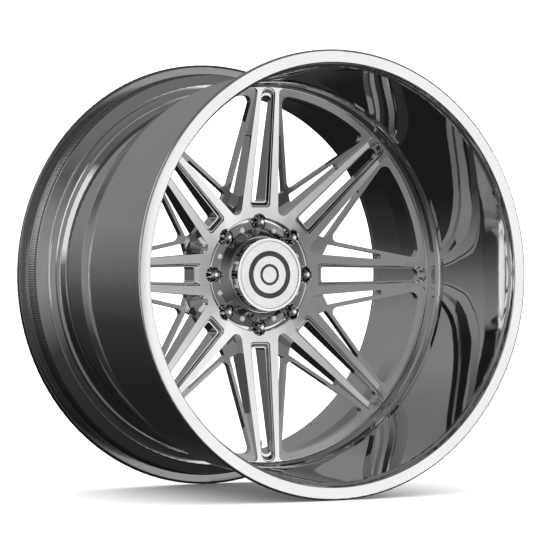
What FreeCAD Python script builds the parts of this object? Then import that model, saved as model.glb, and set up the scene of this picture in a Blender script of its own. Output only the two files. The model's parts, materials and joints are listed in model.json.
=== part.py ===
import FreeCAD, Part
import math
import os

# Two-piece forged deep-lip wheel, 26 x 16 inch, eight lug, with its centre cap,
# lug nuts and tyre valve.
#
# Everything is drawn in the wheel's own turning frame, in millimetres: X to the
# right, Y up, Z along the spin axis towards the street side, zero half way
# between the two flanges. to_row() then stands the wheel up, so that the spin
# axis lies along Y and the street side faces -Y, with +Z up.

V = FreeCAD.Vector
os.makedirs("parts", exist_ok=True)

# ---------------------------------------------------------------- dimensions
INCH = 25.4
SPOKES = 8                           # main spokes, lug nuts and windows alike
PITCH = 360.0 / SPOKES

BEAD_SEAT_R = 26 * INCH / 2          # 330.2, nominal rim diameter
FLANGE_R = BEAD_SEAT_R + 17.5        # J flange height
FLANGE_T = 10.8                      # flange thickness
HALF_WIDTH = 16 * INCH / 2 + FLANGE_T
LIP_INNER_R = 326.9                  # inner edge of the flat lip face
SEAT_TAPER = math.tan(math.radians(5))

CENTRE_R = 309.0                     # outside of the forged centre, in the barrel
RING_BACK = -20.0                    # back of that ring
FACE_RING_R = 302.2                  # where the spoke face meets that ring

HUB_FACE_Z = -32.0                   # spoke face beside the hub
HUB_FACE_R = 110.0
RIM_FACE_Z = -3.6                    # spoke face beside the outer ring
RIM_FACE_R = 301.0
FACE_SLOPE = (RIM_FACE_Z - HUB_FACE_Z) / (RIM_FACE_R - HUB_FACE_R)

BACK_HUB = (119.0, -70.0)            # back of the spokes: radius, height
BACK_RIM = (296.0, -20.0)

PAD_Z = -88.0                        # mounting face, which sets the offset
PAD_R = 106.0
BORE_R = 62.6                        # hub-centric bore
BORE_FRONT = -56.0                   # the bore ends here, at the cap's counterbore
CAP_SEAT_R = 91.0                    # round pocket that the cap's base sits in
CAP_SEAT_Z = -44.0
SPIGOT_BORE_R = 64.2

STUD_PCD = 170.0
STUD_HOLE_R = 7.5
LUG_WELL_R = 12.8
LUG_WELL_Z = -70.0
LUG_SEAT_R = 12.0                    # wide end of the 60 degree seat

SPOKE_HALF = (120.0, 32.4)           # half width of a spoke at this radius
SPOKE_TAPER = -0.0729                # and how it changes with the radius
POCKET_R = 300.0                     # pockets between the spokes end here
POCKET_APEX_FILLET = 10.0
POCKET_CORNER_FILLET = 7.0

WEB_FRONT = [(90.0, -58.7), (153.0, -39.0), (303.0, -6.2)]
WEB_THICKNESS = 13.3

BRANCH_OUTER = (149.0, 53.3)         # window side of a branch, from the spoke's axis
BRANCH_INNER = (134.8, 50.1)         # spoke side of a branch
BRANCH_TAPER = -0.193
WINDOW_R = 289.6
WINDOW_APEX_FILLET = 8.8
WINDOW_CORNER_FILLET = 11.0
TRIANGLE_A = (126.0, 32.4)           # inner end of the narrow opening, spoke side
TRIANGLE_B = (133.75, 48.2)          # and branch side
TRIANGLE_END = 224.0

SLOT_FACE = (108.6, 302.0, 18.4, 12.2)    # start, end, half width at each end
SLOT_LEDGE = (115.0, 293.0, 13.8, 10.4)
SLOT_HOLE = (118.0, 288.0, 12.4, 9.6)
SLOT_DEPTH = 6.5

SCREW_CIRCLE_R = 76.5
SCREW_R = 2.5



# ------------------------------------------------------------- drawing helpers
def at_xy(u, v):
    """A point of an outline drawn flat, across the spin axis."""
    return V(u, v, 0)


def at_xz(u, v):
    """A point of a profile: radius and height along the spin axis."""
    return V(u, 0, v)


def outline(corners, place):
    """Closed wire through corners (u, v) or (u, v, fillet radius)."""
    count = len(corners)
    starts, ends, mids = [], [], []
    for i, corner in enumerate(corners):
        here = V(corner[0], corner[1], 0)
        radius = corner[2] if len(corner) > 2 else 0.0
        before = corners[i - 1]
        after = corners[(i + 1) % count]
        to_before = (V(before[0], before[1], 0) - here).normalize()
        to_after = (V(after[0], after[1], 0) - here).normalize()
        half = to_before.getAngle(to_after) / 2
        if radius == 0 or half > math.pi / 2 - 1e-3:
            starts.append(here)
            ends.append(here)
            mids.append(None)
            continue
        reach = radius / math.tan(half)
        bisector = (to_before + to_after).normalize()
        starts.append(here + to_before * reach)
        ends.append(here + to_after * reach)
        mids.append(here + bisector * (radius / math.sin(half) - radius))
    edges = []
    for i in range(count):
        a, b, m = starts[i], ends[i], mids[i]
        if m is not None:
            edges.append(Part.Arc(place(a.x, a.y), place(m.x, m.y), place(b.x, b.y)).toShape())
        c = starts[(i + 1) % count]
        if (c - b).Length > 1e-6:
            edges.append(Part.makeLine(place(b.x, b.y), place(c.x, c.y)))
    return Part.Wire(edges)


def turned(corners):
    """Solid turned about the spin axis from a closed (radius, height) profile."""
    face = Part.Face(outline(corners, at_xz))
    return face.revolve(V(0, 0, 0), V(0, 0, 1), 360)


def prism(wire, low, high):
    """Solid standing on a flat wire, from one height to another."""
    face = Part.Face(wire)
    face.translate(V(0, 0, low))
    return face.extrude(V(0, 0, high - low))


def rod(radius, low, high, x=0.0, y=0.0):
    return Part.makeCylinder(radius, high - low, V(x, y, low), V(0, 0, 1))


def cone(r_low, r_high, low, high, x=0.0, y=0.0):
    return Part.makeCone(r_low, r_high, high - low, V(x, y, low), V(0, 0, 1))


def spun(shape, degrees):
    copy = shape.copy()
    copy.rotate(V(0, 0, 0), V(0, 0, 1), degrees)
    return copy


def around(shape, start=0.0, count=SPOKES):
    """Copies of a shape spaced evenly about the spin axis."""
    return [spun(shape, start + k * 360.0 / count) for k in range(count)]


def to_row(shape):
    """Stand the wheel up: street side to -Y, spin axis along Y."""
    copy = shape.copy()
    copy.rotate(V(0, 0, 0), V(1, 0, 0), 90)
    return copy


def save(name, shape):
    standing = to_row(shape)
    standing.exportStep("parts/" + name + ".step")
    print(name, len(standing.Solids), round(standing.Volume / 1000.0, 1), standing.isValid())


def as_node(solids):
    return solids[0] if len(solids) == 1 else Part.makeCompound(solids)


def one_solid(shape):
    return shape.Solids[0] if len(shape.Solids) == 1 else shape


# ------------------------------------------------------------------ the barrel
def bead_r(z):
    """Bead seat radius, which falls 5 degrees away from the flange."""
    return BEAD_SEAT_R - (HALF_WIDTH - FLANGE_T - abs(z)) * SEAT_TAPER


VALVE_Z = -36.0
VALVE_OUTER_R = 309.0                # flat spot under the valve's head
VALVE_INNER_R = 301.6                # flat spot under the valve's nut
VALVE_HOLE_R = 5.75


def rim_barrel():
    w = HALF_WIDTH
    profile = [
        # street-side flange, then outside of the barrel towards the vehicle
        (LIP_INNER_R, w, 2.0),
        (FLANGE_R, w, 3.4),
        (FLANGE_R, w - FLANGE_T, 4.5),
        (BEAD_SEAT_R + 0.6, w - FLANGE_T, 2.5),
        (bead_r(184), 184.0, 1.0),
        (bead_r(184) + 1.1, 181.0, 1.5),
        (bead_r(184) + 1.1, 178.5, 1.5),
        (325.6, 170.0, 4.0),
        (323.4, 120.0, 30.0),
        (318.0, -6.0, 12.0),
        (303.0, -68.0, 10.0),
        (303.0, -166.0, 3.0),
        (314.0, -164.0, 2.5),
        (314.6, -166.0, 1.0),
        (329.0, -177.5, 2.0),
        (329.4, -180.5, 1.5),
        (bead_r(184), -184.0, 1.0),
        (BEAD_SEAT_R + 0.6, -w + FLANGE_T, 2.5),
        (FLANGE_R, -w + FLANGE_T, 4.5),
        (FLANGE_R, -w, 4.5),
        # vehicle-side opening, then inside of the barrel towards the street
        (328.4, -w, 2.0),
        (321.6, -w + 9.0, 4.0),
        (320.8, -174.0, 5.0),
        (297.0, -157.0, 8.0),
        (296.5, -72.0, 12.0),
        (303.5, RING_BACK),
        (CENTRE_R, RING_BACK),
        # seat of the centre, a bead at the seam, then the long polished lip
        (CENTRE_R, 24.6),
        (307.6, 26.4, 0.8),
        (307.6, 29.6, 0.8),
        (309.0, 35.6, 1.5),
        (321.6, 199.0, 3.0),
        (322.4, 202.8, 1.2),
        (325.6, 205.2, 1.4),
        (326.2, 209.0, 1.0),
    ]
    barrel = turned(profile)
    outer_spot = Part.makeCylinder(11.0, 14, V(0, -VALVE_OUTER_R, VALVE_Z), V(0, -1, 0))
    inner_spot = Part.makeCylinder(10.5, 14, V(0, -VALVE_INNER_R, VALVE_Z), V(0, 1, 0))
    hole = Part.makeCylinder(VALVE_HOLE_R, 40, V(0, -325, VALVE_Z), V(0, 1, 0))
    return one_solid(barrel.cut(outer_spot).cut(inner_spot).cut(hole))


# ------------------------------------------------------------ the forged centre
def line_at(anchor, taper, r):
    """Distance from the spoke's axis of a straight side, at a radius along it."""
    return anchor[1] + taper * (r - anchor[0])


def wedge(anchor, taper, outer_r, apex_fillet, corner_fillet):
    """Opening between two spokes, drawn between the spokes at 0 and 45 degrees."""
    half = math.radians(PITCH / 2)
    slope = taper
    apex_along = (anchor[1] - slope * anchor[0]) / (math.tan(half) - slope)
    reach = outer_r
    for _ in range(20):
        side = line_at(anchor, taper, reach)
        reach = math.sqrt(outer_r ** 2 - side ** 2)
    apex = V(apex_along, apex_along * math.tan(half), 0)
    near = V(reach, line_at(anchor, taper, reach), 0)
    angle = math.atan2(near.y, near.x)
    far_angle = 2 * half - angle
    far = V(outer_r * math.cos(far_angle), outer_r * math.sin(far_angle), 0)
    middle = V(outer_r * math.cos(half), outer_r * math.sin(half), 0)
    wire = Part.Wire([
        Part.makeLine(apex, near),
        Part.Arc(near, middle, far).toShape(),
        Part.makeLine(far, apex),
    ])
    block = prism(wire, -100.0, 60.0)
    upright = [e for e in block.Edges if abs(e.Length - 160.0) < 1e-6]
    inner = [e for e in upright if (e.Vertexes[0].Point - V(apex.x, apex.y, e.Vertexes[0].Z)).Length < 1]
    block = block.makeFillet(apex_fillet, inner)
    upright = [e for e in block.Edges if abs(e.Length - 160.0) < 1e-6]
    outer = [e for e in upright
             if e.Vertexes[0].Point.x ** 2 + e.Vertexes[0].Point.y ** 2 > (outer_r - 0.5) ** 2]
    return block.makeFillet(corner_fillet, outer)


def above(profile, top=120.0):
    """Space on the street side of a turned surface given by (radius, height) points."""
    first, last = profile[0], profile[-1]
    corners = [(first[0], top)] + [first] + [(p[0], p[1], 90.0) for p in profile[1:-1]]
    corners += [last, (last[0], top)]
    return turned(corners)


def below(profile, bottom=-140.0):
    first, last = profile[0], profile[-1]
    corners = [(first[0], bottom)] + [first] + [(p[0], p[1], 90.0) for p in profile[1:-1]]
    corners += [last, (last[0], bottom)]
    return turned(corners)


def narrow_opening():
    """Narrow three-cornered opening between a spoke's side and a branch."""
    end = TRIANGLE_END
    wire = outline([
        (TRIANGLE_A[0], line_at(SPOKE_HALF, SPOKE_TAPER, TRIANGLE_A[0]), 1.2),
        (end, line_at(SPOKE_HALF, SPOKE_TAPER, end), 1.5),
        (end + 0.5, line_at(BRANCH_INNER, BRANCH_TAPER, end), 2.5),
        (TRIANGLE_B[0], line_at(BRANCH_INNER, BRANCH_TAPER, TRIANGLE_B[0]), 2.5),
    ], at_xy)
    return prism(wire, -100.0, 60.0)


def slot_wire(spec, height, corner):
    """Outline of a spoke's slot, square towards the hub and round at the rim end."""
    start, end, wide, slim = spec
    end_round = 0.93 * slim
    wire = outline([
        (start, -wide, corner),
        (end, -slim, end_round),
        (end, slim, end_round),
        (start, wide, corner),
    ], at_xy)
    wire.translate(V(0, 0, height))
    return wire


def slot_tool():
    """One spoke's slot: a sunken, sloping edge at the face and a hole through."""
    tilt = math.degrees(math.atan(FACE_SLOPE))
    pivot = V(SLOT_FACE[0], 0, HUB_FACE_Z + FACE_SLOPE * (SLOT_FACE[0] - HUB_FACE_R))
    rise = 3.0
    grow = rise * 0.9
    top = (SLOT_FACE[0] - grow, SLOT_FACE[1] + grow, SLOT_FACE[2] + grow, SLOT_FACE[3] + grow)
    bevel = Part.makeLoft([
        slot_wire(top, rise, 5.0 + grow),
        slot_wire((SLOT_FACE[0] + 1.4, SLOT_FACE[1] - 1.4, SLOT_FACE[2] - 1.6, SLOT_FACE[3] - 1.2),
                  -1.8, 5.0),
    ], True, True)
    sunk = Part.makeLoft([
        slot_wire((SLOT_FACE[0] + 1.8, SLOT_FACE[1] - 1.8, SLOT_FACE[2] - 2.0, SLOT_FACE[3] - 1.4),
                  -1.2, 5.0),
        slot_wire(SLOT_LEDGE, -SLOT_DEPTH, 4.5),
    ], True, True)
    tool = bevel.fuse(sunk)
    tool.translate(V(pivot.x - SLOT_FACE[0], 0, pivot.z))
    tool.rotate(pivot, V(0, 1, 0), -tilt)
    hole = prism(slot_wire(SLOT_HOLE, 0, 4.0), -100.0, HUB_FACE_Z + 20.0)
    return tool, hole


def wheel_centre():
    face_edge_z = HUB_FACE_Z + FACE_SLOPE * (CAP_SEAT_R + 1.3 - HUB_FACE_R)
    profile = [
        (SPIGOT_BORE_R, CAP_SEAT_Z),
        (CAP_SEAT_R, CAP_SEAT_Z, 1.2),
        (CAP_SEAT_R, face_edge_z - 1.6, 0.4),
        (CAP_SEAT_R + 1.3, face_edge_z, 0.5),
        (RIM_FACE_R, RIM_FACE_Z, 1.0),
        (FACE_RING_R, RIM_FACE_Z + 1.6, 0.8),
        (303.0, 18.5, 1.0),
        (306.6, 22.3, 0.5),
        (308.2, 22.3),
        (CENTRE_R, 21.5),
        (CENTRE_R, RING_BACK),
        (BACK_RIM[0], BACK_RIM[1], 10.0),
        (BACK_HUB[0], BACK_HUB[1], 8.0),
        (PAD_R + 2.0, -80.0, 3.0),
        (PAD_R, PAD_Z),
        (BORE_R + 1.5, PAD_Z),
        (BORE_R, PAD_Z + 1.5),
        (BORE_R, BORE_FRONT),
        (SPIGOT_BORE_R, BORE_FRONT),
    ]
    disc = turned(profile)
    pocket = wedge(SPOKE_HALF, SPOKE_TAPER, POCKET_R, POCKET_APEX_FILLET, POCKET_CORNER_FILLET)
    web_back = [(r, z - WEB_THICKNESS) for r, z in WEB_FRONT]
    front_pocket = pocket.common(above(WEB_FRONT))
    back_pocket = pocket.common(below(web_back))
    back_pocket = back_pocket.cut(rod(122.0, -150.0, 0.0))
    window = wedge(BRANCH_OUTER, BRANCH_TAPER, WINDOW_R, WINDOW_APEX_FILLET, WINDOW_CORNER_FILLET)
    narrow = narrow_opening()
    narrow_other = narrow.mirror(V(0, 0, 0), V(0, 1, 0))
    narrow_other = spun(narrow_other, PITCH)
    bevel, hole = slot_tool()
    for tool in (front_pocket, back_pocket, window, narrow, narrow_other, bevel, hole):
        for copy in around(tool):
            disc = disc.cut(copy)
    for k in range(SPOKES):
        angle = math.radians(k * PITCH)
        x, y = STUD_PCD / 2 * math.cos(angle), STUD_PCD / 2 * math.sin(angle)
        seat_depth = (LUG_SEAT_R - STUD_HOLE_R) / math.tan(math.radians(30))
        well = rod(LUG_WELL_R, LUG_WELL_Z, 20.0, x, y)
        well = well.fuse(cone(STUD_HOLE_R, LUG_SEAT_R, LUG_WELL_Z - seat_depth, LUG_WELL_Z, x, y))
        well = well.fuse(cone(LUG_WELL_R, LUG_WELL_R + 4.5, -35.0, -29.0, x, y))
        well = well.fuse(rod(STUD_HOLE_R, -100.0, LUG_WELL_Z, x, y))
        disc = disc.cut(well)
        angle = math.radians((k + 0.5) * PITCH)
        x, y = SCREW_CIRCLE_R * math.cos(angle), SCREW_CIRCLE_R * math.sin(angle)
        disc = disc.cut(rod(SCREW_R, CAP_SEAT_Z - 18.0, CAP_SEAT_Z + 1.0, x, y))
    return one_solid(disc.removeSplitter())


def seam_weld():
    """Fillet weld round the back, where the centre's ring meets the barrel."""
    return turned([
        (296.6, RING_BACK - 0.05),
        (303.45, RING_BACK - 0.05),
        (302.55, RING_BACK - 7.0, 1.0),
        (299.6, RING_BACK - 5.6, 3.0),
    ])


# ------------------------------------------------------------------ centre cap
CAP_BASE_EDGE = -38.8                # top of the base ring at its outer edge
CAP_BASE_R = 86.2
CAP_SCREW_SEAT = -38.6
CAP_COLLAR_TOP = -23.5               # top of the flared collar round the cap
TOWER_R = 59.2
TOWER_TOP = -1.0
TOWER_BORE_R = 54.0
SPIGOT_R = 58.6
DISC_R = 52.2


def cap_base_ring():
    """Flat ring that bolts into the hub pocket and leaves room for the lug nuts."""
    ring = turned([
        (59.6, CAP_SEAT_Z),
        (CAP_BASE_R, CAP_SEAT_Z),
        (CAP_BASE_R, CAP_BASE_EDGE),
        (73.5, CAP_BASE_EDGE + 2.4, 5.0),
        (63.6, CAP_COLLAR_TOP - 2.1, 2.0),
        (61.6, CAP_COLLAR_TOP, 0.5),
        (59.6, CAP_COLLAR_TOP, 0.4),
    ])
    ring = spun(ring, PITCH / 4)
    for k in range(SPOKES):
        angle = math.radians(k * PITCH)
        x, y = STUD_PCD / 2 * math.cos(angle), STUD_PCD / 2 * math.sin(angle)
        ring = ring.cut(rod(LUG_WELL_R + 1.0, -60.0, 0.0, x, y))
        angle = math.radians((k + 0.5) * PITCH)
        x, y = SCREW_CIRCLE_R * math.cos(angle), SCREW_CIRCLE_R * math.sin(angle)
        ring = ring.cut(rod(SCREW_R + 0.25, -60.0, 0.0, x, y))
        ring = ring.cut(rod(5.1, CAP_SCREW_SEAT, 0.0, x, y))
    return one_solid(ring)


def cap_screw():
    """Button head socket screw standing on the base ring."""
    seat = CAP_SCREW_SEAT
    body = turned([
        (0, CAP_SEAT_Z - 14.0),
        (SCREW_R - 0.6, CAP_SEAT_Z - 14.0),
        (SCREW_R - 0.1, CAP_SEAT_Z - 13.0),
        (SCREW_R - 0.1, seat),
        (4.7, seat),
        (4.7, seat + 0.9, 0.3),
        (2.9, seat + 2.8, 0.8),
        (0, seat + 2.8),
    ])
    socket = Part.Face(Part.makePolygon([
        V(1.75 * math.cos(math.radians(60 * i)), 1.75 * math.sin(math.radians(60 * i)), seat + 1.1)
        for i in range(7)]))
    return body.cut(socket.extrude(V(0, 0, 5)))


def cap_screws():
    screw = cap_screw()
    screw.translate(V(SCREW_CIRCLE_R, 0, 0))
    return around(screw, PITCH / 2)


def cap_tower():
    """Raised round cap, hollow behind, that pulls out of the base ring."""
    groove = (-39.2, -36.2)
    return turned([
        (TOWER_BORE_R, -43.5),
        (SPIGOT_R, -43.5),
        (TOWER_R, -42.4),
        (TOWER_R, groove[0]),
        (56.6, groove[0]),
        (56.6, groove[1]),
        (TOWER_R, groove[1]),
        (TOWER_R, CAP_COLLAR_TOP + 0.35),
        (60.4, CAP_COLLAR_TOP + 0.35, 0.3),
        (60.4, CAP_COLLAR_TOP + 1.8, 0.5),
        (TOWER_R, CAP_COLLAR_TOP + 2.8, 0.5),
        (TOWER_R - 0.2, TOWER_TOP - 0.9, 0.4),
        (58.3, TOWER_TOP, 0.4),
        (54.4, TOWER_TOP, 0.4),
        (53.7, TOWER_TOP - 1.6, 0.3),
        (DISC_R + 0.05, TOWER_TOP - 1.6),
        (DISC_R + 0.05, TOWER_TOP - 2.6),
        (0, TOWER_TOP - 2.6),
        (0, TOWER_TOP - 6.0),
        (TOWER_BORE_R, TOWER_TOP - 6.0, 3.0),
    ])


def cap_face_disc():
    """Thin pale badge disc let into the tower, left without any mark."""
    return turned([
        (0, TOWER_TOP - 2.6),
        (DISC_R, TOWER_TOP - 2.6),
        (DISC_R, TOWER_TOP - 0.9),
        (DISC_R - 0.7, TOWER_TOP - 0.3),
        (0, TOWER_TOP - 0.3),
    ])


def cap_badge_rings():
    """Two plain dark rings on the disc, a neutral decoration."""
    floor = TOWER_TOP - 0.3
    top = floor + 0.7
    outer = turned([(30.0, floor), (38.0, floor), (38.0, top), (30.0, top)])
    inner = turned([(13.0, floor), (17.0, floor), (17.0, top), (13.0, top)])
    return [outer, inner]


def cap_o_ring():
    return Part.makeTorus(58.05, 1.45, V(0, 0, -37.7), V(0, 0, 1))


# ------------------------------------------------------------------- lug nuts
NUT_TIP = -24.0
NUT_BODY_R = 11.0
NUT_FLUTES = 6


def lug_nut():
    """Closed spline-drive nut with a 60 degree seat and a fluted, pointed cap."""
    gap = 0.3
    tan30 = math.tan(math.radians(30))
    seat_low_r = STUD_HOLE_R + 0.9
    seat_top = LUG_WELL_Z - (LUG_SEAT_R - NUT_BODY_R) / tan30 + gap / 0.5
    seat_low = seat_top - (NUT_BODY_R - seat_low_r) / tan30
    nut = turned([
        (0, seat_low),
        (seat_low_r, seat_low),
        (NUT_BODY_R, seat_top),
        (NUT_BODY_R, -47.0, 0.6),
        (9.4, -45.4, 0.5),
        (9.4, -43.6, 0.5),
        (11.2, -42.0, 0.6),
        (11.2, -39.2, 0.8),
        (9.6, -37.0, 2.0),
        (4.2, NUT_TIP + 1.2, 3.0),
        (2.6, NUT_TIP, 0.8),
        (0, NUT_TIP),
    ])
    thread = rod(6.9, seat_low - 1.0, -50.0)
    nut = nut.cut(thread).cut(cone(seat_low_r - 0.2, 6.0, seat_low - 0.5, seat_low + 2.5))
    for k in range(NUT_FLUTES):
        angle = math.radians(k * 360.0 / NUT_FLUTES)
        flute = rod(2.4, -62.0, -46.9, 12.4 * math.cos(angle), 12.4 * math.sin(angle))
        nut = nut.cut(flute)
        top = Part.makeCone(4.4, 2.2, 24.0,
                            V(13.4 * math.cos(angle), 13.4 * math.sin(angle), -42.5),
                            V(-0.335 * math.cos(angle), -0.335 * math.sin(angle), 1.0))
        nut = nut.cut(top)
    return one_solid(nut)


def lug_nuts():
    nut = lug_nut()
    for k in range(SPOKES):
        copy = nut.copy()
        copy.translate(V(STUD_PCD / 2, 0, 0))
        save("lug_nut_%d" % (k + 1), spun(copy, k * PITCH))


# ----------------------------------------------------------------- tyre valve
# The valve is drawn upright about its own axis, with height measured inwards
# from the barrel's outer flat spot, then laid into the lowest point of the
# barrel, pointing at the spin axis.
VALVE_WALL = VALVE_OUTER_R - VALVE_INNER_R
STEM_R = 4.1
STEM_TOP = 40.0
STEM_BORE_R = 2.1


def valve_place(shape):
    copy = shape.copy()
    copy.rotate(V(0, 0, 0), V(1, 0, 0), -90)
    copy.translate(V(0, -VALVE_OUTER_R, VALVE_Z))
    return copy


def valve_stem():
    return turned([
        (STEM_BORE_R, -4.2),
        (8.8, -4.2, 1.2),
        (8.8, -2.4, 0.6),
        (STEM_R + 0.4, -2.4),
        (STEM_R + 0.4, VALVE_WALL + 2.0),
        (STEM_R, VALVE_WALL + 2.4),
        (STEM_R, 27.0),
        (3.85, 27.6),
        (3.85, STEM_TOP - 0.5),
        (3.4, STEM_TOP),
        (STEM_BORE_R, STEM_TOP),
    ])


def valve_grommet():
    """Rubber seal between the stem's head and the barrel, with a sleeve in the hole."""
    return turned([
        (STEM_R + 0.45, -2.35),
        (9.4, -2.35, 0.5),
        (9.4, -0.02),
        (VALVE_HOLE_R - 0.1, -0.02),
        (VALVE_HOLE_R - 0.1, VALVE_WALL - 0.5),
        (STEM_R + 0.45, VALVE_WALL - 0.5),
    ])


def valve_washer():
    return turned([
        (STEM_R + 0.55, VALVE_WALL + 0.02),
        (8.6, VALVE_WALL + 0.02),
        (8.6, VALVE_WALL + 1.2, 0.3),
        (STEM_R + 0.55, VALVE_WALL + 1.2),
    ])


def valve_nut():
    low = VALVE_WALL + 1.25
    corners = [V(6.9 * math.cos(math.radians(60 * i)), 6.9 * math.sin(math.radians(60 * i)), low)
               for i in range(7)]
    block = Part.Face(Part.makePolygon(corners)).extrude(V(0, 0, 5.0))
    crown = turned([(0, low - 1), (7.4, low - 1), (7.4, low + 4.3), (5.9, low + 5.1), (0, low + 5.1)])
    bore = rod(STEM_R + 0.45, low - 2, low + 8)
    return one_solid(block.common(crown).cut(bore))


def valve_core():
    """Screwed-in core body, which holds the pin and its spring inside the stem."""
    return turned([
        (0.75, 26.0),
        (STEM_BORE_R - 0.05, 26.0),
        (STEM_BORE_R - 0.05, 37.5),
        (0.75, 37.5),
        (0.75, 36.0),
        (1.35, 36.0),
        (1.35, 26.35),
        (0.75, 26.35),
    ])


def valve_core_pin():
    """Pin that is pressed to let air in or out, with its sealing head below."""
    return turned([
        (0, 23.6),
        (1.7, 23.6),
        (1.9, 24.4),
        (1.5, 25.7),
        (0.45, 25.7),
        (0.45, 34.6),
        (0.95, 34.8),
        (0.95, 35.4),
        (0.45, 35.6),
        (0.45, 39.0, 0.3),
        (0, 39.0),
    ])


def valve_core_spring():
    """Small coil that holds the pin's head up against the core."""
    radius, wire = 0.95, 0.16
    low, high, turns = 26.64, 34.2, 6
    helix = Part.makeHelix((high - low) / turns, high - low, radius)
    section = Part.Wire([Part.Circle(V(radius, 0, 0), V(0, 1, 0.2), wire).toShape()])
    coil = Part.Wire(helix.Edges).makePipeShell([section], True, True)
    coil.translate(V(0, 0, low))
    return one_solid(coil)


def valve_cap():
    """Knurled dust cap over the end of the stem."""
    cap = turned([
        (4.0, 28.4),
        (4.9, 28.4, 0.3),
        (4.9, 40.6, 0.3),
        (4.2, 41.6, 0.4),
        (0, 41.6),
        (0, 40.6),
        (4.0, 40.6),
    ])
    for k in range(16):
        angle = math.radians(k * 22.5)
        cap = cap.cut(rod(0.45, 29.4, 39.6, 5.05 * math.cos(angle), 5.05 * math.sin(angle)))
    return one_solid(cap)


def valve_cap_seal():
    """Rubber disc in the roof of the dust cap, clear of the pin's tip."""
    return turned([(1.2, 40.15), (3.95, 40.15), (3.95, 40.58), (1.2, 40.58)])


# ----------------------------------------------------------------------- build
save("rim_barrel", rim_barrel())
save("wheel_centre", wheel_centre())
save("seam_weld", seam_weld())
save("cap_base_ring", cap_base_ring())
save("cap_screws", as_node(cap_screws()))
save("cap_tower", cap_tower())
save("cap_face_disc", cap_face_disc())
save("cap_badge_rings", as_node(cap_badge_rings()))
save("cap_o_ring", cap_o_ring())
lug_nuts()
save("valve_stem", valve_place(valve_stem()))
save("valve_grommet", valve_place(valve_grommet()))
save("valve_washer", valve_place(valve_washer()))
save("valve_nut", valve_place(valve_nut()))
save("valve_core", valve_place(valve_core()))
save("valve_core_pin", valve_place(valve_core_pin()))
save("valve_core_spring", valve_place(valve_core_spring()))
save("valve_cap", valve_place(valve_cap()))
save("valve_cap_seal", valve_place(valve_cap_seal()))
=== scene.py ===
"""Looks of the deep-lip forged wheel rim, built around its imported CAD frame.

Row frame: the spin axis is Y, the street side faces -Y and the valve is at the lowest point.
"""
import json
import math

import bmesh
import bpy
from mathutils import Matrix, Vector


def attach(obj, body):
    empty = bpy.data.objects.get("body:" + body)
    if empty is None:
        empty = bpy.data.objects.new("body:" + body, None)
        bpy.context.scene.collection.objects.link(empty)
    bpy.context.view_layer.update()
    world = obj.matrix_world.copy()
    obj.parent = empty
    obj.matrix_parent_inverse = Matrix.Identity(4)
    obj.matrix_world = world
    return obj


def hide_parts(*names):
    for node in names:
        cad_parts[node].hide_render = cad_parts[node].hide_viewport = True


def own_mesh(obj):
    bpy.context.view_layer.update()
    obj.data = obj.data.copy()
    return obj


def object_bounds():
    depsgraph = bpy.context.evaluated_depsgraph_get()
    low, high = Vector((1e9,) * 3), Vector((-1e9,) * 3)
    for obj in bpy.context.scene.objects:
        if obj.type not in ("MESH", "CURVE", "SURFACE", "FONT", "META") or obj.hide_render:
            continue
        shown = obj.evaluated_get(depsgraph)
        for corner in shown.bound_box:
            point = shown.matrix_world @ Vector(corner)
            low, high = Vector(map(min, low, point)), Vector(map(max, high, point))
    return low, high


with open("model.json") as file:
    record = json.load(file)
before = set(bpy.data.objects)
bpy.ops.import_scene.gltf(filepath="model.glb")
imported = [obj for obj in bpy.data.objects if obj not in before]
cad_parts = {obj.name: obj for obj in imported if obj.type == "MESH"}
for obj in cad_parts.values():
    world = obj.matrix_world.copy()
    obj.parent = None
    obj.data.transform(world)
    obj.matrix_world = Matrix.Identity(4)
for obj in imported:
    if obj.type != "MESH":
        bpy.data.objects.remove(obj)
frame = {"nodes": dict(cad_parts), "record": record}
cad_box = [list(corner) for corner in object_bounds()]

# Stage, in metres.
FLOOR_GAP = 0.00008
FLOOR_Z = cad_box[0][2] - FLOOR_GAP
FLOOR_HALF_SIZE = 30.0

# Camera, level with the hub and to the left of the wheel's axis.
CAMERA_LOOK = Vector((0.4979, 0.8672, 0.0))
CAMERA_DISTANCE = 4.829
CAMERA_HEIGHT = 0.0075
CAMERA_LENS_MM = 200.97
SENSOR_WIDTH_MM = 36.0

# Bands on the vehicle end of the barrel, as the nearest and farthest y from the street side.
KNURL_BAND = (0.1865, 0.2005)
# On the flange band the colour is darkened as painted shade, and the finish is rougher.
SHADED_FLANGE_BAND = (0.2024, 0.2080)
KNURLS_ROUND = 260.0                # waves in one turn, in each of the two crossed directions
KNURLS_ALONG = 2600.0               # lean of those waves, in radians per metre of y

# Edges sharper than this keep a crease. The nuts' flutes are shallow, so theirs is lower.
CREASE_DEG = 24.0
NUT_CREASE_DEG = 14.0
WELD_DISTANCE = 1e-7

# Plain white light on the floor and on dull finishes.
DIFFUSE_STRENGTH = 1.9

# Sky that the polish reflects, as (height from 0 straight down to 1 straight up, brightness).
SKY_BEHIND = [(0.0, 0.01), (0.28, 0.012), (0.40, 0.035), (0.47, 0.09), (0.52, 0.15), (0.60, 0.22),
              (0.75, 0.23), (0.86, 0.12), (0.95, 0.10), (1.0, 0.16)]
SKY_IN_FRONT = [(0.0, 0.02), (0.25, 0.04), (0.36, 0.16), (0.45, 0.26), (0.55, 0.28), (0.68, 0.24),
                (0.80, 0.10), (0.9, 0.16), (1.0, 0.16)]
SKY_BLEND = 0.25                    # half the width of the change from one sky to the other, in y

# Soft-edged panels in that sky: azimuths, elevations and soft edge in degrees, then brightness.
# Azimuth 0 is straight in front of the wheel and 90 is at its right.
PANELS = [
    ((22.0, 43.0), (-15.0, 15.0), 4.0, 1.0),
    ((-38.0, -24.0), (-9.0, 9.0), 2.5, 1.0),
    ((-112.0, -80.0), (8.0, 50.0), 4.0, 0.9),
]


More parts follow.
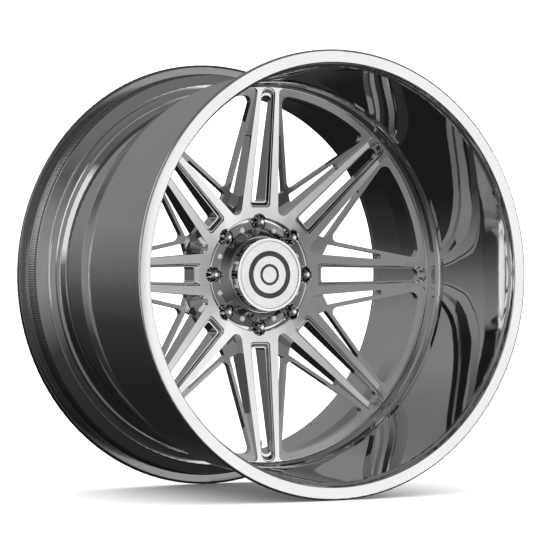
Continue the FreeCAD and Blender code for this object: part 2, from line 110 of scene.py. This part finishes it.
# ------------------------------------------------------------------ node help
class Nodes:
    """Short way to add nodes to one tree and join them."""

    def __init__(self, tree):
        self.tree = tree
        tree.nodes.clear()

    def add(self, kind, **settings):
        node = self.tree.nodes.new(kind)
        for key, value in settings.items():
            setattr(node, key, value)
        return node

    def put(self, socket, value):
        """Join an output socket to this input, or set the input to a number or colour."""
        if hasattr(value, "is_linked"):
            self.tree.links.new(value, socket)
        else:
            socket.default_value = value

    def math(self, operation, a, b=None, c=None, clamp=False):
        node = self.add("ShaderNodeMath", operation=operation, use_clamp=clamp)
        for socket, value in zip(node.inputs, (a, b, c)):
            if value is not None:
                self.put(socket, value)
        return node.outputs[0]

    def ramp(self, factor, stops):
        """Colours or greys between (place, value) stops."""
        node = self.add("ShaderNodeValToRGB")
        elements = node.color_ramp.elements
        while len(elements) < len(stops):
            elements.new(0.5)
        for element, (place, colour) in zip(elements, stops):
            element.position = place
            value = colour if isinstance(colour, tuple) else (colour,) * 3
            element.color = (*value, 1.0)
        self.put(node.inputs["Fac"], factor)
        return node.outputs["Color"]

    def noise(self, vector, scale, detail, roughness=0.5):
        node = self.add("ShaderNodeTexNoise")
        self.put(node.inputs["Vector"], vector)
        node.inputs["Scale"].default_value = scale
        node.inputs["Detail"].default_value = detail
        node.inputs["Roughness"].default_value = roughness
        return node.outputs["Fac"]

    def range(self, value, low, high, to_low, to_high):
        node = self.add("ShaderNodeMapRange")
        self.put(node.inputs["Value"], value)
        keys = ("From Min", "From Max", "To Min", "To Max")
        for key, number in zip(keys, (low, high, to_low, to_high)):
            node.inputs[key].default_value = number
        return node.outputs["Result"]

    def between(self, value, limits):
        """1 where the value is between the two limits, otherwise 0."""
        return self.math("MULTIPLY", self.math("GREATER_THAN", value, limits[0]),
                         self.math("LESS_THAN", value, limits[1]))

    def mix(self, factor, a, b):
        node = self.add("ShaderNodeMix", data_type="RGBA")
        for key, value in zip(("Factor", "A", "B"), (factor, a, b)):
            self.put(node.inputs[key], value)
        return node.outputs["Result"]

    def place(self):
        """The object coordinates, whole and as x, y and z."""
        coordinates = self.add("ShaderNodeTexCoord").outputs["Object"]
        parts = self.add("ShaderNodeSeparateXYZ")
        self.put(parts.inputs[0], coordinates)
        return coordinates, parts.outputs

    def turned_vector(self, across, along):
        """Coordinates that are the same all round the Y axis, as turning marks are."""
        _, (x, y, z) = self.place()
        squares = self.math("ADD", self.math("MULTIPLY", x, x), self.math("MULTIPLY", z, z))
        node = self.add("ShaderNodeCombineXYZ")
        self.put(node.inputs[0], self.math("MULTIPLY", self.math("SQRT", squares), across))
        self.put(node.inputs[1], self.math("MULTIPLY", y, along))
        return node.outputs[0]

    def bump(self, height, strength, distance, normal=None):
        node = self.add("ShaderNodeBump")
        self.put(node.inputs["Height"], height)
        node.inputs["Strength"].default_value = strength
        node.inputs["Distance"].default_value = distance
        if normal is not None:
            self.put(node.inputs["Normal"], normal)
        return node.outputs["Normal"]

    def surface(self, **inputs):
        shader = self.add("ShaderNodeBsdfPrincipled")
        for key, value in inputs.items():
            self.put(shader.inputs[key.replace("_", " ")], value)
        out = self.add("ShaderNodeOutputMaterial")
        self.tree.links.new(shader.outputs[0], out.inputs["Surface"])


def material(name):
    made = bpy.data.materials.new(name)
    made.use_nodes = True
    return made, Nodes(made.node_tree)


# ------------------------------------------------------------------ materials
def knurled_seat(n, normal):
    """Crossed knurling on the vehicle-side bead seat."""
    _, (x, y, z) = n.place()
    angle = n.math("MULTIPLY", n.math("ARCTAN2", z, x), KNURLS_ROUND)
    lean = n.math("MULTIPLY", y, KNURLS_ALONG)
    cross = n.math("MULTIPLY", n.math("SINE", n.math("ADD", angle, lean)),
                   n.math("SINE", n.math("SUBTRACT", angle, lean)))
    return n.bump(n.math("MULTIPLY", cross, n.between(y, KNURL_BAND)), 0.5, 0.0004, normal)


def dull_shaded_flange(n, colour, roughness):
    """The vehicle-side flange, rougher and with painted shade: a darker grey colour there stands in for its
    dim reflection.
    """
    _, (_, y, _) = n.place()
    shaded_band = n.between(y, SHADED_FLANGE_BAND)
    # Painted shade: the flange band's colour is mixed to a dark grey, and its roughness is raised.
    return n.mix(shaded_band, colour, (0.3, 0.3, 0.303, 1.0)), n.math("MULTIPLY_ADD", shaded_band, 0.1, roughness)


def polished(name, tint, rough, turning, barrel=False):
    """Mirror-polished metal with faint turning marks and cloudy polish.

    The barrel's finish also has the vehicle-side flange, rougher and darkened with painted shade, and the
    knurled bead seat of its vehicle end.
    """
    made, n = material(name)
    coordinates, _ = n.place()
    cloud = n.noise(coordinates, 9.0, 4.0)
    fine = n.noise(coordinates, 420.0, 2.0)
    marks = n.noise(n.turned_vector(900.0, 900.0), 1.0, 2.0, 0.6)
    low = tuple(channel * 0.955 for channel in tint)
    colour = n.ramp(cloud, [(0.35, low), (0.65, tint)])
    roughness = n.math("ADD", n.range(cloud, 0.3, 0.7, rough * 0.75, rough * 1.3),
                       n.range(fine, 0.3, 0.7, -0.01, 0.015), clamp=True)
    normal = n.bump(marks, turning, 0.00006)
    if barrel:
        normal = knurled_seat(n, normal)
        colour, roughness = dull_shaded_flange(n, colour, roughness)
    n.surface(Base_Color=colour, Metallic=1.0, Roughness=roughness, Normal=normal)
    return made


def plain(name, dark, light, rough, metallic, grain, relief):
    """A finish with a soft grain: plastic, rubber, brass or plain steel."""
    made, n = material(name)
    coordinates, _ = n.place()
    grain_value = n.noise(coordinates, grain, 4.0)
    cloud = n.noise(coordinates, 40.0, 3.0)
    colour = n.ramp(cloud, [(0.35, dark), (0.65, light)])
    roughness = n.range(grain_value, 0.3, 0.7, rough * 0.85, rough * 1.15)
    n.surface(Base_Color=colour, Metallic=metallic, Roughness=roughness,
              Normal=n.bump(grain_value, relief, 0.0001))
    return made


def grey(value):
    return (value, value, value)


POLISHED_FINISHES = {
    "polished_forging": dict(tint=(0.9, 0.9, 0.905), rough=0.022, turning=0.05, barrel=True),
    "dark_chrome": dict(tint=(0.66, 0.66, 0.67), rough=0.03, turning=0.05),
    "bright_chrome": dict(tint=grey(0.92), rough=0.03, turning=0.06),
    "nut_chrome": dict(tint=(0.95, 0.95, 0.955), rough=0.02, turning=0.0),
}
PLAIN_FINISHES = {
    "weld_metal": dict(dark=(0.45, 0.45, 0.46), light=(0.62, 0.62, 0.63), rough=0.4,
                       metallic=1.0, grain=180.0, relief=0.5),
    "screw_steel": dict(dark=grey(0.8), light=grey(0.88), rough=0.35,
                        metallic=0.4, grain=500.0, relief=0.05),
    "pale_badge": dict(dark=grey(0.62), light=grey(0.68), rough=0.35,
                       metallic=0.0, grain=900.0, relief=0.005),
    "dark_badge": dict(dark=(0.02, 0.02, 0.022), light=(0.04, 0.04, 0.043), rough=0.3,
                       metallic=0.0, grain=900.0, relief=0.03),
    "black_rubber": dict(dark=grey(0.012), light=grey(0.03), rough=0.65,
                         metallic=0.0, grain=600.0, relief=0.3),
    "valve_metal": dict(dark=(0.6, 0.6, 0.61), light=(0.78, 0.78, 0.79), rough=0.24,
                        metallic=1.0, grain=500.0, relief=0.05),
    "valve_brass": dict(dark=(0.55, 0.4, 0.18), light=(0.75, 0.57, 0.3), rough=0.28,
                        metallic=1.0, grain=500.0, relief=0.05),
}
MATERIALS = {name: polished(name, **facts) for name, facts in POLISHED_FINISHES.items()}
MATERIALS.update({name: plain(name, **facts) for name, facts in PLAIN_FINISHES.items()})


# --------------------------------------------------------------------- pieces
SLOT_OF = {part["node"]: part["material_slot"] for part in frame["record"]["subparts"]}
BODIES = frame["record"]["behaviour"]["bodies"]
BODY_OF = {node: body for body, nodes in BODIES.items() for node in nodes}


def smooth_between_creases(obj, crease_deg):
    """Smooth shading inside each crease angle, with flat areas kept flat."""
    for polygon in obj.data.polygons:
        polygon.use_smooth = True
    edges = bmesh.new()
    edges.from_mesh(obj.data)
    limit = math.radians(crease_deg)
    for edge in edges.edges:
        edge.smooth = len(edge.link_faces) == 2 and edge.calc_face_angle(0.0) < limit
    edges.to_mesh(obj.data)
    edges.free()
    weighted = obj.modifiers.new("weighted", "WEIGHTED_NORMAL")
    weighted.keep_sharp = True
    weighted.weight = 80


def refined(node, crease_deg):
    """A welded copy of a CAD node, shaded smoothly across its blends."""
    mesh = frame["nodes"][node].data.copy()
    mesh.name = node + "_fine"
    mesh.materials.clear()
    welded = bmesh.new()
    welded.from_mesh(mesh)
    bmesh.ops.remove_doubles(welded, verts=welded.verts, dist=WELD_DISTANCE)
    welded.to_mesh(mesh)
    welded.free()
    obj = bpy.data.objects.new(node + "_fine", mesh)
    bpy.context.scene.collection.objects.link(obj)
    mesh.materials.append(MATERIALS[SLOT_OF[node]])
    smooth_between_creases(obj, crease_deg)
    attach(obj, BODY_OF[node])
    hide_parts(node)
    return obj


def shorten_with(obj):
    """The spring gets its own copy of its mesh."""
    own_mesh(obj)


def all_pieces():
    for node in frame["nodes"]:
        piece = refined(node, NUT_CREASE_DEG if node.startswith("lug_nut") else CREASE_DEG)
        if node == "valve_core_spring":
            shorten_with(piece)


# ---------------------------------------------------------------------- stage
def floor():
    half = FLOOR_HALF_SIZE
    corners = [(-half, -half, FLOOR_Z), (half, -half, FLOOR_Z), (half, half, FLOOR_Z), (-half, half, FLOOR_Z)]
    mesh = bpy.data.meshes.new("floor")
    mesh.from_pydata(corners, [], [(0, 1, 2, 3)])
    obj = bpy.data.objects.new("floor", mesh)
    bpy.context.scene.collection.objects.link(obj)
    made, n = material("floor")
    n.surface(Base_Color=(0.9, 0.9, 0.9, 1.0), Roughness=0.9, Specular_IOR_Level=0.0)
    mesh.materials.append(made)
    obj.visible_glossy = False


def past_azimuth(n, direction, azimuth, turn, soft):
    """0 to 1 across an upright plane at this azimuth, over a soft edge in degrees."""
    angle = math.radians(azimuth)
    edge = math.sin(math.radians(soft))
    dot = n.add("ShaderNodeVectorMath", operation="DOT_PRODUCT")
    n.put(dot.inputs[0], direction)
    dot.inputs[1].default_value = (turn * math.cos(angle), turn * math.sin(angle), 0.0)
    return n.range(dot.outputs["Value"], -edge, edge, 0.0, 1.0)


def past_elevation(n, height, elevation, turn, soft):
    """0 to 1 across a level at this elevation, upwards if turn is 1 and downwards if it is -1."""
    low, high = (math.sin(math.radians(elevation + side * soft)) for side in (-1, 1))
    ends = (0.0, 1.0) if turn > 0 else (1.0, 0.0)
    return n.range(height, low, high, *ends)


def panel(n, direction, height, base, azimuths, elevations, soft, value):
    """The sky's tone with one soft-edged panel laid over it."""
    edges = [past_azimuth(n, direction, azimuths[0], 1, soft),
             past_azimuth(n, direction, azimuths[1], -1, soft),
             past_elevation(n, height, elevations[0], 1, soft),
             past_elevation(n, height, elevations[1], -1, soft)]
    cover = edges[0]
    for edge in edges[1:]:
        cover = n.math("MULTIPLY", cover, edge)
    return n.mix(cover, base, (*grey(value), 1.0))


def background(n, colour, strength):
    node = n.add("ShaderNodeBackground")
    n.put(node.inputs["Color"], colour)
    node.inputs["Strength"].default_value = strength
    return node.outputs[0]


def studio():
    """A white studio: white to look at and to light the floor, with a toned sky for the polish to reflect."""
    world = bpy.data.worlds.new("studio")
    bpy.context.scene.world = world
    world.use_nodes = True
    n = Nodes(world.node_tree)
    direction = n.add("ShaderNodeTexCoord").outputs["Generated"]
    parts = n.add("ShaderNodeSeparateXYZ")
    n.put(parts.inputs[0], direction)
    _, depth, height = parts.outputs
    upwards = n.math("MULTIPLY_ADD", height, 0.5, 0.5)
    in_front = n.range(depth, -SKY_BLEND, SKY_BLEND, 1.0, 0.0)
    tone = n.mix(in_front, n.ramp(upwards, SKY_BEHIND), n.ramp(upwards, SKY_IN_FRONT))
    for azimuths, elevations, soft, value in PANELS:
        tone = panel(n, direction, height, tone, azimuths, elevations, soft, value)

    reflected = n.add("ShaderNodeLightPath").outputs["Is Glossy Ray"]
    either = n.add("ShaderNodeMixShader")
    n.put(either.inputs[0], reflected)
    n.put(either.inputs[1], background(n, (1.0, 1.0, 1.0, 1.0), DIFFUSE_STRENGTH))
    n.put(either.inputs[2], background(n, tone, 1.0))
    out = n.add("ShaderNodeOutputWorld")
    n.put(out.inputs["Surface"], either.outputs[0])


def camera():
    data = bpy.data.cameras.new("camera")
    data.lens = CAMERA_LENS_MM
    data.sensor_width = SENSOR_WIDTH_MM
    data.clip_end = 100.0
    obj = bpy.data.objects.new("camera", data)
    bpy.context.scene.collection.objects.link(obj)
    obj.location = CAMERA_LOOK * -CAMERA_DISTANCE + Vector((0.0, 0.0, CAMERA_HEIGHT))
    obj.rotation_euler = (math.radians(90.0), 0.0, -math.atan2(CAMERA_LOOK.x, CAMERA_LOOK.y))
    bpy.context.scene.camera = obj


all_pieces()
floor()
studio()
camera()
bpy.context.scene.view_settings.view_transform = "Standard"
